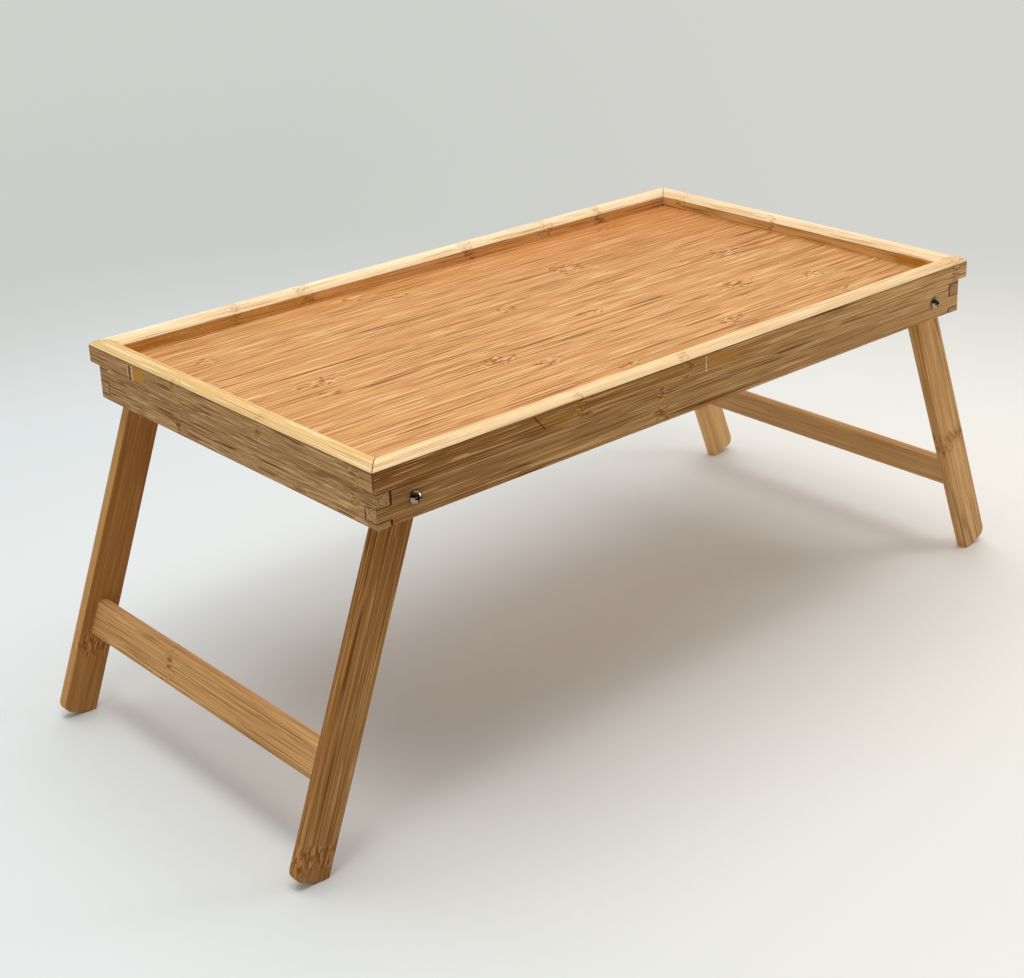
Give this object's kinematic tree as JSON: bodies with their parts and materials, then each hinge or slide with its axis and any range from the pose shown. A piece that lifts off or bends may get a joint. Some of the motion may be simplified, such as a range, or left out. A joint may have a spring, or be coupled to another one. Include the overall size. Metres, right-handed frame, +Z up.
{
  "type": "bed tray table",
  "caption": "Rectangular bamboo lap tray with a raised crowned rim on a box-jointed apron, standing on two splayed leg frames that swing flat under the tray.",
  "frame": {"origin": "on the floor under the middle of the tray, with the leg frames splayed", "axes": "+X along the tray's long side, +Y across the tray away from the front rail, +Z up"},
  "size_m": [0.6126, 0.287, 0.2333],
  "materials": {
    "bamboo_rim": "satin clear lacquer over pale bamboo",
    "bamboo_apron": "satin clear lacquer over caramel bamboo",
    "bamboo_panel": "satin clear lacquer over fine-grained bamboo",
    "bamboo_leg": "satin clear lacquer over caramel bamboo",
    "bamboo_stretcher": "satin clear lacquer over caramel bamboo",
    "screw_steel": "bright nickel plate",
    "washer_steel": "zinc plate",
    "spacer_plastic": "matt black nylon"
  },
  "bodies": {
    "tray": {"rim_front": "bamboo_rim", "rim_back": "bamboo_rim", "rim_left": "bamboo_rim", "rim_right": "bamboo_rim", "panel": "bamboo_panel", "apron_front": "bamboo_apron", "apron_back": "bamboo_apron", "apron_left": "bamboo_apron", "apron_right": "bamboo_apron", "pivot_screws": "screw_steel", "pivot_spacers": "spacer_plastic", "nut_washers": "washer_steel", "lock_nuts": "washer_steel"},
    "leg_frame_left": {"leg_front_left": "bamboo_leg", "leg_back_left": "bamboo_leg", "stretcher_left": "bamboo_stretcher"},
    "leg_frame_right": {"leg_front_right": "bamboo_leg", "leg_back_right": "bamboo_leg", "stretcher_right": "bamboo_stretcher"}
  },
  "joints": [
    {"name": "leg_fold_left", "type": "hinge", "parent": "tray", "child": "leg_frame_left", "pos_m": [-0.22065, 0, 0.20689], "axis": [0, -1, 0], "range_deg": [0, 110.5]},
    {"name": "leg_fold_right", "type": "hinge", "parent": "tray", "child": "leg_frame_right", "pos_m": [0.22065, 0, 0.20689], "axis": [0, 1, 0], "range_deg": [0, 110.5]}
  ]
}
